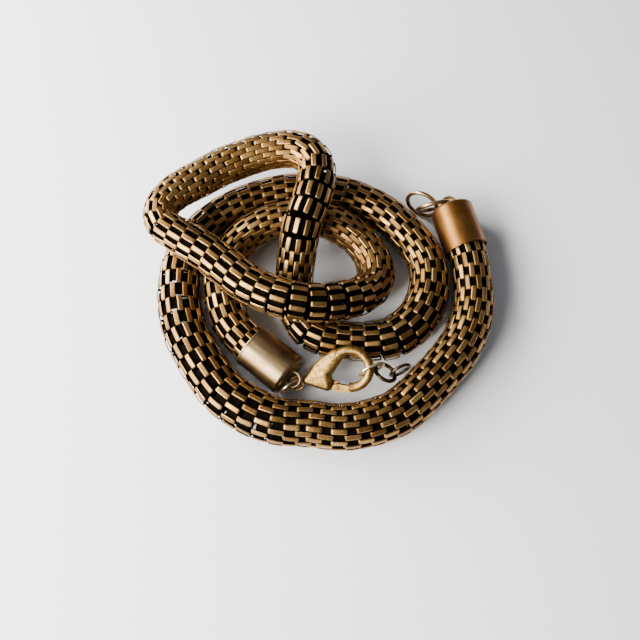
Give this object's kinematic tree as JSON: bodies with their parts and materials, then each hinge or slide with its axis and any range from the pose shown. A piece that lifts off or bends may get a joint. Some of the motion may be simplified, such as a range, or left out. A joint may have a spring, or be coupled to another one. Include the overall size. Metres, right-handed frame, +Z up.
{
  "type": "mesh collar necklace",
  "caption": "Thick hollow mesh rope necklace lying unclasped in a loose pile, with plain end caps, jump rings, a lobster clasp with a hinged gate and a short extender.",
  "frame": {"origin": "on the table, under the middle of the box round the lying necklace", "axes": "+Z up from the table, +X along the pile's longest extent, +Y away from the viewer of the picture"},
  "size_m": [0.0807, 0.0745, 0.0205],
  "materials": {
    "mesh": "antiqued, satin",
    "cap_clasp": "brushed",
    "cap_ring": "satin, copper toned",
    "rings": "polished, worn",
    "clasp": "cast, bright"
  },
  "bodies": {
    "necklace": {"mesh_rope": "mesh", "end_cap_clasp": "cap_clasp", "end_cap_ring": "cap_ring", "clasp_link_ring": "rings", "clasp_body": "clasp", "clasp_pin": "clasp", "link_ring": "rings", "clasp_ring": "rings", "hook_ring": "rings", "chain_link_1": "rings", "chain_link_2": "rings"},
    "gate": {"clasp_gate": "clasp"}
  },
  "joints": [
    {"name": "gate_hinge", "type": "hinge", "parent": "necklace", "child": "gate", "pos_m": [0.00375, -0.02287, 0.00517], "axis": [-0.212, -0.4213, 0.8818], "range_deg": [0, 35], "stiffness_Nm_per_rad": 0.0001}
  ]
}
